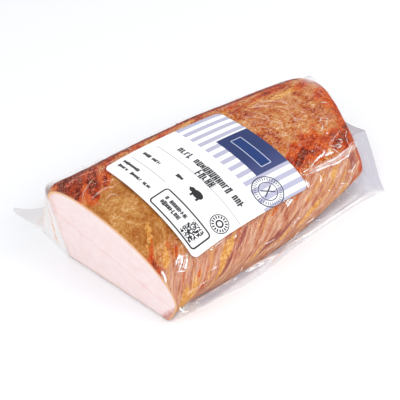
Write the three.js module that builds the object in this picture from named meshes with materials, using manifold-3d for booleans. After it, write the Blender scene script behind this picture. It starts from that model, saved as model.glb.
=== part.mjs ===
// Pack of smoked pork loin: a cooked loin joint shrunk into a clear film pouch, with a paper label
// on its top. Millimetres, +Z up. The joint is laid out from its cut face: x runs along the joint
// from the cut face to the far end, y across it from the front foot, z up from the table. At the
// end the whole pack is moved so that the middle of its footprint is the origin.
import * as THREE from "three";
import { mergeVertices } from "three/addons/utils/BufferGeometryUtils.js";
import Module from "manifold-3d";

// ---- driving dimensions of the wrapped joint ----
const jointWidth = 92; // flat foot of the cut face
const jointHeight = 55; // crown of the joint, a third of the way along
const frontLength = 191; // cut face to far end, along the front foot
const endSkew = 0.66; // the far end is cut askew: extra length for each millimetre across
const endRounding = 0.012; // how fast the back far corner rounds off
const endRoundingFrom = 55; // and where across the joint that begins
const middleAcross = 45; // the line across that the far end's length is named on
const endReach = frontLength + endSkew * middleAcross;
const capDepth = 10; // the far end domes over this length
const capPower = 4;
const capHeight = 20; // height of the middle of the dome
const skewStart = 136; // the far end's skew grows in from here
const endFlare = 7; // the low front corner of the far end reaches this much further out
const flareHeights = [16, 40]; // the flare is whole below the first and gone above the second
const flareAcross = 60; // and it fades from the front foot to here
const rimRadius = 1.6; // soft edge round the cut face

// ---- cross-sections: sizes named at stations along the joint ----
const stations = [0, 7, 18, 60, 120, 165, 196, endReach];
const sectionSizes = {
  frontFoot: [-1, -3, -4, -6, -6, -5, -5, -6],
  frontBulge: [-7.5, -7.5, -7, -8, -9, -8, -6, -2],
  frontBulgeHeight: [15, 15, 15.5, 17, 18, 18, 18, 17],
  crownAcross: [80, 81, 82, 82, 78, 74, 72, 70],
  crownHeight: [49.5, 51.5, 53.5, jointHeight, 54.5, 50.5, 47, 43.5],
  backBulge: [109, 118, 115, 111, 109, 107, 105, 103],
  backBulgeHeight: [35, 34.5, 34, 32, 30, 28, 26, 24],
  backFoot: [jointWidth + 1, 127, 121, 115, 113, 112, 110, 104],
  frontPower: [1.75, 1.75, 1.75, 1.9, 2.2, 2.6, 2.9, 3],
  backLowerPower: [1, 1.2, 1.4, 1.6, 1.6, 1.6, 1.6, 1.6],
};
const backPower = 2.4;
const frontLowerPower = 1.6;
// where the front bulge, the crown and the back bulge stand on the way round, from 0 to 1
const frontBulgeAt = 0.14;
const crownAt = 0.62;
const backBulgeAt = 0.86;

// ---- film ridge along the front shoulder ----
const ridgeFrom = 136; // starts at the label's corner
const ridgeAt = [0.36, 0.335]; // place on the way round, at its start and at the far end
const ridgeHeight = 1.8;
const ridgeWidth = 0.012;
const ridgeRunUp = 0.25; // it rises over this share of its length

// ---- flat edges of the pouch: outline from above, with the height of each point ----
// [x, y, height of the edge, height where it leaves the joint]
const sealThickness = 1.2;
const pouchOutline = [
  [-1.8, 20, 0, 0.2],
  [-1.8, -0.5, 0, 0.2],
  [12.6, -5, 0, 0.2],
  [38.7, -8, 0, 0.2],
  [57.6, -11.5, 0, 0.2],
  [81, -11.5, 0, 0.2],
  [112.5, -9.5, 0, 0.2],
  [162, -9.5, 0, 0.2],
  [185.4, -11, 0, 0.3],
  [202.4, -14.2, 0, 2], // front far corner
  [205.5, -7, 4.5, 9],
  [216, 9.5, 17.5, 22],
  [224.9, 22.6, 25, 28], // the end seam is highest here
  [231, 40, 19.5, 23],
  [240, 68, 15, 18],
  [243, 100, 7, 10],
  [242, 127, 0, 2], // back far corner
  [226, 123, 0.5, 0.6],
  [190, 119, 4, 4],
  [140, 120, 6, 6],
  [80, 122, 6, 6],
  [40, 127, 5, 5],
  [24, 141, 2, 3],
  [14.8, 149.6, 0.5, 2],
  [9.3, 158.8, 0, 1], // tip of the near back corner
  [6, 154, 0, 0.5],
  [6.2, 131, 0, 0.2],
  [5.3, 108.5, 0, 0.2],
  [-1.8, 90, 0, 0.2],
];
const sharpCorners = [1, 9, 12, 16, 24, 28];
// how far in the flat edges reach: lines inside the joint, and their height above the outline's
const edgeReach = { near: 8, front: 8, back: 90, far: 18, lift: 0.8 };

// ---- label ----
const labelNear = 31.5; // x of its near edge, at the top
const labelLength = 102;
const labelTop = -5.5; // its top edge, measured round the joint from the crown towards the front
const labelHeight = 89.5;
const labelLean = 6; // its lower edge sits this much nearer the cut face
const labelCorner = 5;
const labelCornerRow = 1.5; // one more row of points this far from the top and bottom edges
const labelGap = 0.45;
const labelThickness = 0.4;

// ---- how finely the shapes are divided ----
const stepsAround = 64;
const stepsAlong = 34;
const stepsDome = 9;
const stepsOutline = 3; // between two points of the outline
const labelColumns = 26;
const labelRows = 26;

const clamp = (value, low, high) => Math.min(Math.max(value, low), high);
const smoothStep = (value) => clamp(value, 0, 1) ** 2 * (3 - 2 * clamp(value, 0, 1));

// Holds a value near a range, with a little of what lies past it kept, so that no two points meet.
function holdNear(value, low, high) {
  const keptPast = 0.06;
  const inside = clamp(value, low, high);
  return inside + (value - inside) * keptPast;
}

// A smooth curve through one size of each station.
function sizeAt(values, along) {
  const last = stations.length - 1;
  let k = 0;
  while (k < last - 1 && along > stations[k + 1]) k += 1;
  const slope = (i) => {
    const before = Math.max(i - 1, 0);
    const after = Math.min(i + 1, last);
    return (values[after] - values[before]) / (stations[after] - stations[before]);
  };
  const width = stations[k + 1] - stations[k];
  const t = clamp((along - stations[k]) / width, 0, 1);
  const rise = t * t * (3 - 2 * t);
  return (
    values[k] * (1 - rise) +
    values[k + 1] * rise +
    (t - 2 * t * t + t ** 3) * width * slope(k) +
    (t ** 3 - t * t) * width * slope(k + 1)
  );
}

// One quarter of a superellipse, from (1, 0) to (0, 1).
function quarter(turn, power) {
  const angle = (clamp(turn, 0, 1) * Math.PI) / 2;
  return [Math.cos(angle) ** (2 / power), Math.sin(angle) ** (2 / power)];
}

// The cross-section: four quarters of superellipses from the front foot over the crown to the
// back foot. Its flat foot closes it.
function crossSection(along, round) {
  const size = (name) => sizeAt(sectionSizes[name], along);
  const crown = [size("crownAcross"), size("crownHeight")];
  if (round < frontBulgeAt) {
    const [c, s] = quarter(round / frontBulgeAt, frontLowerPower);
    const foot = size("frontFoot");
    return [foot + (size("frontBulge") - foot) * s, size("frontBulgeHeight") * (1 - c)];
  }
  if (round < crownAt) {
    const [c, s] = quarter((round - frontBulgeAt) / (crownAt - frontBulgeAt), size("frontPower"));
    const height = size("frontBulgeHeight");
    return [crown[0] + (size("frontBulge") - crown[0]) * c, height + (crown[1] - height) * s];
  }
  if (round < backBulgeAt) {
    const [c, s] = quarter((round - crownAt) / (backBulgeAt - crownAt), backPower);
    const height = size("backBulgeHeight");
    return [crown[0] + (size("backBulge") - crown[0]) * s, height + (crown[1] - height) * c];
  }
  const [c, s] = quarter((round - backBulgeAt) / (1 - backBulgeAt), size("backLowerPower"));
  const foot = size("backFoot");
  return [foot + (size("backBulge") - foot) * c, size("backBulgeHeight") * (1 - s)];
}

// Length of the joint along the line at this place across it.
function lengthAt(across) {
  const past = Math.max(across - endRoundingFrom, 0);
  return frontLength + endSkew * across - endRounding * past * past;
}

function placeAlong(along, across, height) {
  const share = smoothStep((along - skewStart) / (endReach - skewStart));
  const low = smoothStep((flareHeights[1] - height) / (flareHeights[1] - flareHeights[0]));
  const front = smoothStep(1 - across / flareAcross);
  return along + share * (lengthAt(across) - endReach) + share ** 2 * endFlare * low * front;
}

// A point of the wrapped joint's skin.
function skinPoint(along, round) {
  const [y, z] = crossSection(along, round);
  const cap = clamp((along - (endReach - capDepth)) / capDepth, 0, 1);
  const shrink = (1 - cap ** capPower) ** (1 / capPower);
  const rim = Math.max(rimRadius - along, 0) / rimRadius;
  const inset = rimRadius * (1 - Math.sqrt(1 - rim * rim));
  const keep = shrink * (1 - inset / jointHeight);
  const across = middleAcross + (y - middleAcross) * keep;
  const height = along < capDepth ? z * keep : capHeight + (z - capHeight) * keep;
  return new THREE.Vector3(placeAlong(along, across, height), across, height);
}

// The skin with the film's ridge along the front shoulder raised on it.
function bagPoint(along, round) {
  const point = skinPoint(along, round);
  const way = (along - ridgeFrom) / (endReach - capDepth - ridgeFrom);
  if (way <= 0 || along >= endReach) return point;
  const ridgeRound = THREE.MathUtils.lerp(ridgeAt[0], ridgeAt[1], clamp(way, 0, 1));
  const off = (round - ridgeRound) / ridgeWidth;
  const lift = ridgeHeight * Math.min(1, way / ridgeRunUp) * Math.exp(-off * off);
  return point.addScaledVector(skinNormal(along, round), lift);
}

// The outward direction of the skin, from the differences over a small step each way.
function skinNormal(along, round) {
  const stepRound = 0.004;
  const stepAlong = 1;
  const lastAlong = endReach - 0.5;
  const a = skinPoint(along, clamp(round - stepRound, 0, 1));
  const b = skinPoint(along, clamp(round + stepRound, 0, 1));
  const c = skinPoint(Math.max(along - stepAlong, 0), round);
  const d = skinPoint(Math.min(along + stepAlong, lastAlong), round);
  return b.sub(a).cross(d.sub(c)).normalize().negate();
}

// A closed body from rings of equal length: neighbouring rings are joined, and the first and
// last ring are closed by fans to their middles.
function bodyFromRings(rings) {
  const count = rings[0].length;
  const positions = rings.flat().flatMap((p) => [p.x, p.y, p.z]);
  const middle = (ring) => ring.reduce((sum, p) => sum.add(p), new THREE.Vector3()).divideScalar(count);
  const faces = [];
  for (let i = 0; i + 1 < rings.length; i += 1) {
    for (let k = 0; k < count; k += 1) {
      const a = i * count + k;
      const b = i * count + ((k + 1) % count);
      faces.push(a, b, b + count, a, b + count, a + count);
    }
  }
  const first = rings.length * count;
  positions.push(...middle(rings[0]).toArray(), ...middle(rings.at(-1)).toArray());
  for (let k = 0; k < count; k += 1) {
    const next = (k + 1) % count;
    faces.push(first, next, k);
    faces.push(first + 1, first - count + k, first - count + next);
  }
  return closedGeometry(positions, faces);
}

function closedGeometry(positions, faces) {
  const geometry = new THREE.BufferGeometry();
  geometry.setAttribute("position", new THREE.Float32BufferAttribute(positions, 3));
  geometry.setIndex(faces);
  return geometry;
}

function wrappedJoint() {
  const places = [0, rimRadius * 0.3, rimRadius];
  const straight = endReach - capDepth;
  for (let i = 1; i <= stepsAlong; i += 1) {
    places.push(rimRadius + ((straight - rimRadius) * i) / stepsAlong);
  }
  for (let i = 1; i < stepsDome; i += 1) {
    places.push(straight + capDepth * Math.sin((i / stepsDome) * (Math.PI / 2)));
  }
  const rings = places.map((along) =>
    Array.from({ length: stepsAround }, (_, k) => bagPoint(along, k / (stepsAround - 1))),
  );
  return bodyFromRings(rings);
}

// The outline's points with smooth stretches between its sharp corners.
function outlinePoints() {
  const points = pouchOutline.map((row) => new THREE.Vector4(...row));
  const count = points.length;
  const slope = (i) => {
    if (sharpCorners.includes(i)) return new THREE.Vector4(0, 0, 0, 0);
    return points[(i + 1) % count].clone().sub(points[(i + count - 1) % count]).multiplyScalar(0.5);
  };
  const out = [];
  for (let i = 0; i < count; i += 1) {
    const from = points[i];
    const to = points[(i + 1) % count];
    for (let k = 0; k < stepsOutline; k += 1) {
      const t = k / stepsOutline;
      const rise = t * t * (3 - 2 * t);
      const straight = sharpCorners.includes(i) && sharpCorners.includes((i + 1) % count);
      const point = from.clone().lerp(to, straight ? t : rise);
      if (!straight) {
        point.addScaledVector(slope(i), t - 2 * t * t + t ** 3);
        point.addScaledVector(slope((i + 1) % count), t ** 3 - t * t);
      }
      out.push(point);
    }
  }
  return out;
}

// The flat edges of the pouch: a thin ring that starts well inside the joint and reaches out to
// the outline, in one closed band.
function pouchEdge() {
  const outline = outlinePoints();
  const positions = [];
  const faces = [];
  for (const edge of outline) {
    const innerY = holdNear(edge.y, edgeReach.front, edgeReach.back);
    const innerX = holdNear(edge.x, edgeReach.near, lengthAt(innerY) - edgeReach.far);
    const innerZ = edge.w + edgeReach.lift;
    positions.push(edge.x, edge.y, edge.z);
    positions.push(edge.x, edge.y, edge.z + sealThickness);
    positions.push(innerX, innerY, innerZ + sealThickness);
    positions.push(innerX, innerY, innerZ);
  }
  for (let i = 0; i < outline.length; i += 1) {
    const next = (i + 1) % outline.length;
    for (let k = 0; k < 4; k += 1) {
      const a = i * 4 + k;
      const b = i * 4 + ((k + 1) % 4);
      const c = next * 4 + ((k + 1) % 4);
      const d = next * 4 + k;
      faces.push(a, b, c, a, c, d);
    }
  }
  return closedGeometry(positions, faces);
}

// ---- label: a thin sheet that follows the skin ----
// Place on the way round that lies this far from the crown, measured along the section.
function roundAtArc(along, arc) {
  const step = 0.002;
  const towards = arc < 0 ? step : -step;
  let round = crownAt;
  let left = Math.abs(arc);
  let [y, z] = crossSection(along, round);
  while (left > 0) {
    const [nextY, nextZ] = crossSection(along, round + towards);
    const length = Math.hypot(nextY - y, nextZ - z);
    if (length >= left) return round + (towards * left) / length;
    left -= length;
    round += towards;
    [y, z] = [nextY, nextZ];
  }
  return round;
}

// Corners are round: near the top and bottom edges the rows are shorter.
function rowInset(down) {
  const fromEdge = Math.min(down, labelHeight - down);
  const inside = labelCorner - Math.min(fromEdge, labelCorner);
  return labelCorner - Math.sqrt(labelCorner ** 2 - inside ** 2);
}

function labelSheet() {
  const rowPlaces = Array.from({ length: labelRows }, (_, i) => (labelHeight * i) / (labelRows - 1));
  rowPlaces.splice(1, 0, labelCornerRow);
  rowPlaces.splice(-1, 0, labelHeight - labelCornerRow);
  const layers = [labelGap, labelGap + labelThickness].map((lift) =>
    rowPlaces.map((down) =>
      Array.from({ length: labelColumns }, (_, k) => {
        const inset = rowInset(down);
        const share = k / (labelColumns - 1);
        const lean = (labelLean * down) / labelHeight;
        const x = labelNear - lean + inset + (labelLength - 2 * inset) * share;
        const round = roundAtArc(x, labelTop + down);
        return skinPoint(x, round).addScaledVector(skinNormal(x, round), lift);
      }),
    ),
  );
  return sheetFromLayers(layers[0], layers[1]);
}

// A closed thin sheet between a lower and an upper grid of points.
function sheetFromLayers(lower, upper) {
  const rows = lower.length;
  const columns = lower[0].length;
  const positions = [...lower.flat(), ...upper.flat()].flatMap((p) => [p.x, p.y, p.z]);
  const at = (layer, row, column) => (layer * rows + row) * columns + column;
  const faces = [];
  for (let i = 0; i + 1 < rows; i += 1) {
    for (let k = 0; k + 1 < columns; k += 1) {
      for (const layer of [0, 1]) {
        const a = at(layer, i, k);
        const b = at(layer, i + 1, k);
        const c = at(layer, i + 1, k + 1);
        const d = at(layer, i, k + 1);
        if (layer === 1) faces.push(a, b, c, a, c, d);
        else faces.push(a, c, b, a, d, c);
      }
    }
  }
  const rim = [];
  for (let k = 0; k + 1 < columns; k += 1) rim.push([0, k]);
  for (let i = 0; i + 1 < rows; i += 1) rim.push([i, columns - 1]);
  for (let k = columns - 1; k > 0; k -= 1) rim.push([rows - 1, k]);
  for (let i = rows - 1; i > 0; i -= 1) rim.push([i, 0]);
  for (let i = 0; i < rim.length; i += 1) {
    const [a, b] = [rim[i], rim[(i + 1) % rim.length]];
    const [low0, low1] = [at(0, ...a), at(0, ...b)];
    const [high0, high1] = [at(1, ...a), at(1, ...b)];
    faces.push(low0, high1, low1, low0, high0, high1);
  }
  return closedGeometry(positions, faces);
}

// ---- joining ----
const wasm = await Module();
wasm.setup();

function toSolid(geometry) {
  const merged = mergeVertices(geometry, 1e-4);
  const vertProperties = new Float32Array(merged.attributes.position.array);
  const triVerts = new Uint32Array(merged.index.array);
  const solid = new wasm.Manifold(new wasm.Mesh({ numProp: 3, vertProperties, triVerts }));
  if (solid.volume() > 0) return solid;
  const turned = triVerts.slice().reverse();
  return new wasm.Manifold(new wasm.Mesh({ numProp: 3, vertProperties, triVerts: turned }));
}

function toGeometry(solid) {
  const mesh = solid.getMesh();
  return closedGeometry(Array.from(mesh.vertProperties), Array.from(mesh.triVerts));
}

const bagGeometry = toGeometry(toSolid(wrappedJoint()).add(toSolid(pouchEdge())));
const bag = new THREE.Mesh(
  bagGeometry,
  new THREE.MeshStandardMaterial({ color: 0xc88a58, roughness: 0.25, metalness: 0 }),
);
bag.name = "sealed_bag";

const label = new THREE.Mesh(
  toGeometry(toSolid(labelSheet())),
  new THREE.MeshStandardMaterial({ color: 0xf6f6f8, roughness: 0.5, metalness: 0 }),
);
label.name = "label";

const pack = new THREE.Group();
pack.add(bag, label);
const footprint = new THREE.Box3().setFromObject(pack);
const middle = footprint.getCenter(new THREE.Vector3());
pack.position.set(-middle.x, -middle.y, -footprint.min.z);

export default pack;
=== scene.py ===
import bpy
import numpy as np
from functools import partialmethod
from mathutils import Matrix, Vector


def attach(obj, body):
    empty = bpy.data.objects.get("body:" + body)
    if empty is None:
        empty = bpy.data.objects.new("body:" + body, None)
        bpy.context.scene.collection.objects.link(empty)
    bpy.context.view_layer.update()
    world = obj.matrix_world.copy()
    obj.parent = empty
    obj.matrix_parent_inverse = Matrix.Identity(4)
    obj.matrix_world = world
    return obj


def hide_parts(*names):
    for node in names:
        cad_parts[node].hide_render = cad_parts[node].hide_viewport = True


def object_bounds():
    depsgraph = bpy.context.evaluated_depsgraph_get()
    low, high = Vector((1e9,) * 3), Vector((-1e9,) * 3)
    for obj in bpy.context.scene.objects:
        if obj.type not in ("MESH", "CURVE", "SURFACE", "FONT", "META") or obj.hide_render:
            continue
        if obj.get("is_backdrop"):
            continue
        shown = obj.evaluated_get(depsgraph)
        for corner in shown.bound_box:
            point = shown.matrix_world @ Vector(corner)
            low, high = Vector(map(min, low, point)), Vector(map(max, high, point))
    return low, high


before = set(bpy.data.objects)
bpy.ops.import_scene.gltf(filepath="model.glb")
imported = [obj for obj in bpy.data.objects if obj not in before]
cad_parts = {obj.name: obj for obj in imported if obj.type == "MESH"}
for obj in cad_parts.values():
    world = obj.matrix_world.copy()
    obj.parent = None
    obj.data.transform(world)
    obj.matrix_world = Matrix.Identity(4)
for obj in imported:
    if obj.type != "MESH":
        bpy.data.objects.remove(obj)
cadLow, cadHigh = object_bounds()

scene = bpy.context.scene

# Lengths are in millimetres, laid out as in the part: x from the cut face along the joint, y across
# it from the front foot, z up from the table. toPart moves them into the part's frame, in metres.
packMiddle = np.array([120.6, 72.3, 0.0])


def toPart(points):
    return (np.asarray(points, dtype=float) - packMiddle) / 1000.0


join = np.concatenate


def ramp(value, start=0.0, end=1.0):
    # 0 before start, 1 after end, and 3t^2 - 2t^3 between them
    t = np.clip((value - start) / (end - start), 0.0, 1.0)
    return t * t * (3.0 - 2.0 * t)


def bell(value, middle, width):
    # exp(-((value - middle) / width)^2)
    return np.exp(-(((value - middle) / width) ** 2))


def softNoise(points, size, seed):
    # value noise from 0 to 1: a repeatable number at every corner of cubes of this size, with the
    # eight corners round a point mixed by 3t^2 - 2t^3 in each direction
    q = np.asarray(points, dtype=float) / np.asarray(size, dtype=float)
    cell = np.floor(q)
    f = ramp(q - cell)
    total = np.zeros(q.shape[:-1])
    direction, spread, seedStep = np.array([127.1, 311.7, 74.7]), 43758.5453, 53.31
    for corner in np.ndindex(2, 2, 2):
        chance = np.sin((cell + corner) @ direction + seed * seedStep) * spread
        total += np.where(corner, f, 1 - f).prod(-1) * (chance - np.floor(chance))
    return total


def layeredNoise(points, size, seed, layers=3):
    # softNoise added up at halving sizes and halving weights, from 0 to 1
    size = np.asarray(size, dtype=float)
    parts = [softNoise(points, size / 2**k, seed + 7 * k) * 0.5**k for k in range(layers)]
    return sum(parts) / sum(0.5**k for k in range(layers))


# the wrapped joint's cross-sections: the same named sizes as in the part
wrapForm = {
    "stations": [0, 7, 18, 60, 120, 165, 196, 220.7],
    "frontFoot": [-1, -3, -4, -6, -6, -5, -5, -6],
    "frontBulge": [-7.5, -7.5, -7, -8, -9, -8, -6, -2],
    "frontBulgeHeight": [15, 15, 15.5, 17, 18, 18, 18, 17],
    "crownAcross": [80, 81, 82, 82, 78, 74, 72, 70],
    "crownHeight": [49.5, 51.5, 53.5, 55, 54.5, 50.5, 47, 43.5],
    "backBulge": [109, 118, 115, 111, 109, 107, 105, 103],
    "backBulgeHeight": [35, 34.5, 34, 32, 30, 28, 26, 24],
    "backFoot": [93, 127, 121, 115, 113, 112, 110, 104],
    "frontPower": [1.75, 1.75, 1.75, 1.9, 2.2, 2.6, 2.9, 3],
    "backPower": 2.4,
    "frontLowerPower": 1.6,
    "backLowerPower": [1, 1.2, 1.4, 1.6, 1.6, 1.6, 1.6, 1.6],
    "places": [0.0, 0.14, 0.62, 0.86, 1.0],  # front foot, front bulge, crown, back bulge, back foot
    "frontLength": 191,
    "endSkew": 0.66,
    "endRounding": 0.012,
    "endRoundingFrom": 55,
    "middleAcross": 45,
    "faceReach": 55,  # from the cut face's middle to its rim
    "skewStart": 136,
    "endFlare": 7,
    "flareHeights": [16, 40],
    "flareAcross": 60,
    "capDepth": 10,
    "capPower": 4,
    "capHeight": 20,
}
# the meat, where the film doesn't hug it: at both feet and behind the near back corner
loinForm = dict(
    wrapForm,
    frontFoot=[0, 1.5, 3, -1, -2, 5, 10, 16],
    frontLowerPower=1.4,
    backBulge=[109, 114.5, 112.5, 110.5, 109, 107, 105, 103],
    backFoot=[91, 92, 93, 95, 95, 94, 92, 90],
    backLowerPower=[1.0, 1.1, 1.3, 1.7, 2, 2, 2, 2],
)
endReach = wrapForm["stations"][-1]
faceMiddle = [52.0, 21.0]  # across and up


def cubic(t, first, second, firstSlope, secondSlope):
    # from first to second as t goes from 0 to 1, with these slopes at both ends
    rise = t * t * (3 - 2 * t)
    bend = (t - 2 * t * t + t**3) * firstSlope + (t**3 - t * t) * secondSlope
    return first * (1 - rise) + second * rise + bend


def sizeAt(values, along):
    # cubic curve through one value for each station, its slope at a station taken across its neighbours
    s = np.asarray(wrapForm["stations"], dtype=float)
    v = np.asarray(values, dtype=float)
    before = np.maximum(np.arange(len(s)) - 1, 0)
    after = np.minimum(np.arange(len(s)) + 1, len(s) - 1)
    slope = (v[after] - v[before]) / (s[after] - s[before])
    k = np.clip(np.searchsorted(s, along, side="right") - 1, 0, len(s) - 2)
    width = s[k + 1] - s[k]
    t = np.clip((along - s[k]) / width, 0, 1)
    return cubic(t, v[k], v[k + 1], width * slope[k], width * slope[k + 1])


def quarterTurn(turn, power):
    # a quarter of a superellipse from (1, 0) to (0, 1): cos^(2/power), sin^(2/power)
    angle = np.clip(turn, 0, 1) * np.pi / 2
    return np.abs(np.cos(angle)) ** (2 / power), np.abs(np.sin(angle)) ** (2 / power)


def crossSection(along, around, form):
    # four quarters of superellipses from the front foot over the front bulge, the crown and the
    # back bulge to the back foot
    def at(key):
        return sizeAt(form[key], along)

    p = form["places"]
    turn = [(around - p[i]) / (p[i + 1] - p[i]) for i in range(4)]
    frontY, frontZ = at("frontBulge"), at("frontBulgeHeight")
    crownY, crownZ = at("crownAcross"), at("crownHeight")
    backY, backZ = at("backBulge"), at("backBulgeHeight")
    frontFoot, backFoot = at("frontFoot"), at("backFoot")
    c1, s1 = quarterTurn(turn[0], form["frontLowerPower"])
    c2, s2 = quarterTurn(turn[1], at("frontPower"))
    c3, s3 = quarterTurn(turn[2], form["backPower"])
    c4, s4 = quarterTurn(turn[3], at("backLowerPower"))
    acrossTop = [crownY + (frontY - crownY) * c2, crownY + (backY - crownY) * s3]
    heights = [frontZ * (1 - c1), frontZ + (crownZ - frontZ) * s2, backZ + (crownZ - backZ) * c3]
    parts = [around < p[1], around < p[2], around < p[3]]
    front, back = frontFoot + (frontY - frontFoot) * s1, backFoot + (backY - backFoot) * c4
    y = np.select(parts, [front, *acrossTop], back)
    return y, np.select(parts, heights, backZ * (1 - s4))


def lengthAt(across):
    # straight askew end, rounded off at the back by a square of the distance past a line
    past = np.maximum(across - wrapForm["endRoundingFrom"], 0)
    return wrapForm["frontLength"] + wrapForm["endSkew"] * across - wrapForm["endRounding"] * past**2


def skinPoint(along, around, form, rim):
    # the cross-section, drawn in by a quarter round at the cut face and by a dome at the far end,
    # slid along the joint by the askew end's share, with its low front corner reaching further out
    along, around = np.broadcast_arrays(np.asarray(along, float), np.asarray(around, float))
    y, z = crossSection(along, around, form)
    cap = np.clip((along - (endReach - form["capDepth"])) / form["capDepth"], 0, 1)
    shrink = (1 - cap ** form["capPower"]) ** (1 / form["capPower"])
    edge = np.maximum(rim - along, 0) / rim
    keep = shrink * (1 - rim * (1 - np.sqrt(1 - edge**2)) / form["faceReach"])
    y = form["middleAcross"] + (y - form["middleAcross"]) * keep
    z = np.where(along < form["capDepth"], z * keep, form["capHeight"] + (z - form["capHeight"]) * keep)
    share = ramp(along, form["skewStart"], endReach)
    low = ramp(z, form["flareHeights"][1], form["flareHeights"][0])
    flare = share**2 * form["endFlare"] * low * ramp(y, form["flareAcross"], 0)
    return np.stack([along + share * (lengthAt(y) - endReach) + flare, y, z], axis=-1)


def ringPlaces(rows, domeRows, rim):
    # distances along the joint of its rings: close together at the cut face's soft edge, even along
    # the joint, and by equal turns over the dome
    straight = endReach - wrapForm["capDepth"]
    body = np.linspace(0, 1, rows)[1:] * (straight - rim) + rim
    turn = np.arange(1, domeRows) / domeRows * np.pi / 2
    return join([[0.0, rim * 0.3, rim], body, straight + wrapForm["capDepth"] * np.sin(turn)])


def gridNormals(points):
    # cross product of the two neighbour differences, of length 1
    n = np.cross(np.gradient(points, axis=0), np.gradient(points, axis=1))
    return n / np.maximum(np.linalg.norm(n, axis=-1, keepdims=True), 1e-9)


def skinGrid(piece, form):
    # a piece's grid of places along and round the joint, its skin there and the skin's normals
    around = np.linspace(0, 1, piece["columns"])
    along = ringPlaces(piece["rows"], piece["domeRows"], piece["rim"])
    a, t = np.meshgrid(along, around, indexing="ij")
    skin = skinPoint(a, t, form, piece["rim"])
    return along, around, a, t, skin, gridNormals(skin)


def arcAlongRows(points):
    # running length along each row of a grid
    steps = np.linalg.norm(np.diff(points, axis=1), axis=-1)
    return join([np.zeros((len(points), 1)), np.cumsum(steps, axis=1)], axis=1)


def gridFaces(rows, columns, closedAcross=False, closedAlong=False):
    # quads between neighbouring rows; a closed direction joins its last row or column to its first
    r, c = np.indices((rows - 1 + closedAlong, columns - 1 + closedAcross))
    here, ahead, nextC = r * columns, (r + 1) % rows * columns, (c + 1) % columns
    return np.stack([here + c, here + nextC, ahead + nextC, ahead + c], -1).reshape(-1, 4)


def outwardFaces(points, faces):
    # a closed body's volume is a sixth of the sum of a . (b x c) over its triangles; where it comes
    # out negative, every face is turned round
    a, b, c = points[faces[:, 0]], points[faces[:, 1]], points[faces[:, 2]]
    d = points[np.where(faces[:, 3] < 0, faces[:, 2], faces[:, 3])]
    volume = (a * np.cross(b, c)).sum() + (a * np.cross(c, d)).sum()
    if volume > 0:
        return faces
    turned = faces[:, ::-1].copy()
    fans = turned[:, 0] < 0
    turned[fans] = np.roll(turned[fans], -1, axis=1)
    return turned


def meshPiece(name, points, faces, material, uv=None, fields=None):
    # one closed smooth mesh from arrays, with a UV and named numbers for each vertex; a triangle's
    # fourth corner is -1
    mesh = bpy.data.meshes.new(name)
    faces = outwardFaces(points, faces)
    lists = [row[:3] if row[3] < 0 else row for row in faces.tolist()]
    mesh.from_pydata(toPart(points).tolist(), [], lists)
    mesh.polygons.foreach_set("use_smooth", np.ones(len(mesh.polygons), dtype=bool))
    if uv is not None:
        vertexOfLoop = np.empty(len(mesh.loops), dtype=np.int32)
        mesh.loops.foreach_get("vertex_index", vertexOfLoop)
        mesh.uv_layers.new(name="skin").data.foreach_set("uv", np.asarray(uv, float)[vertexOfLoop].ravel())
    for key, values in (fields or {}).items():
        attribute = mesh.attributes.new(key, "FLOAT", "POINT")
        attribute.data.foreach_set("value", np.asarray(values, dtype=np.float32).ravel())
    mesh.update()
    piece = bpy.data.objects.new(name, mesh)
    scene.collection.objects.link(piece)
    mesh.materials.append(material)
    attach(piece, "root")
    print(name, len(mesh.polygons), "faces")
    return piece


def closedRings(skin, underColumns, keep):
    # rings of a closed body: the skin with its flat underside, straight back from the back foot to
    # the front foot, and before them the cut face, its outline drawn in to each share in keep
    w = np.linspace(0, 1, underColumns + 2)[1:-1][None, :, None]
    rings = join([skin, skin[:, -1:] * (1 - w) + skin[:, :1] * w], axis=1)
    middle = np.array([rings[0, :, 0].mean(), *faceMiddle])
    return middle, join([middle + (rings[:1] - middle) * keep, rings])


def ringBody(rings):
    # points and faces of a closed body from rings of equal length, its two ends closed by fans
    rows, columns = rings.shape[:2]
    points = join([rings.reshape(-1, 3), rings[0].mean(0)[None], rings[-1].mean(0)[None]])
    k = np.arange(columns)
    nextK = (k + 1) % columns
    first = rows * columns
    gap = np.full(columns, -1)
    startFan = np.stack([np.full(columns, first), nextK, k, gap], -1)
    endFan = np.stack([np.full(columns, first + 1), first - columns + k, first - columns + nextK, gap], -1)
    return points, join([gridFaces(rows, columns, True), startFan, endFan])


def wholeField(field, underColumns, cutRows, underside, cutFace, farEnd):
    # the skin's values with those of the underside and the cut face, then of both ends' middles
    rows = join([field, np.broadcast_to(underside, (len(field), underColumns))], axis=1)
    rows = join([np.full((cutRows, rows.shape[1]), cutFace), rows])
    return join([rows.ravel(), [cutFace, farEnd]])


def newMaterial(name):
    material = bpy.data.materials.new(name)
    material.use_nodes = True
    material.node_tree.nodes.clear()
    return material, material.node_tree


def addNode(tree, kind, inputs=None, **settings):
    # a shader node; each input gets a fixed value, a socket or a Maths value
    node = tree.nodes.new("ShaderNode" + kind)
    for key, value in settings.items():
        setattr(node, key, value)
    for key, value in (inputs or {}).items():
        value = getattr(value, "socket", value)
        if isinstance(value, bpy.types.NodeSocket):
            tree.links.new(value, node.inputs[key])
        else:
            node.inputs[key].default_value = value
    return node


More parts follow.
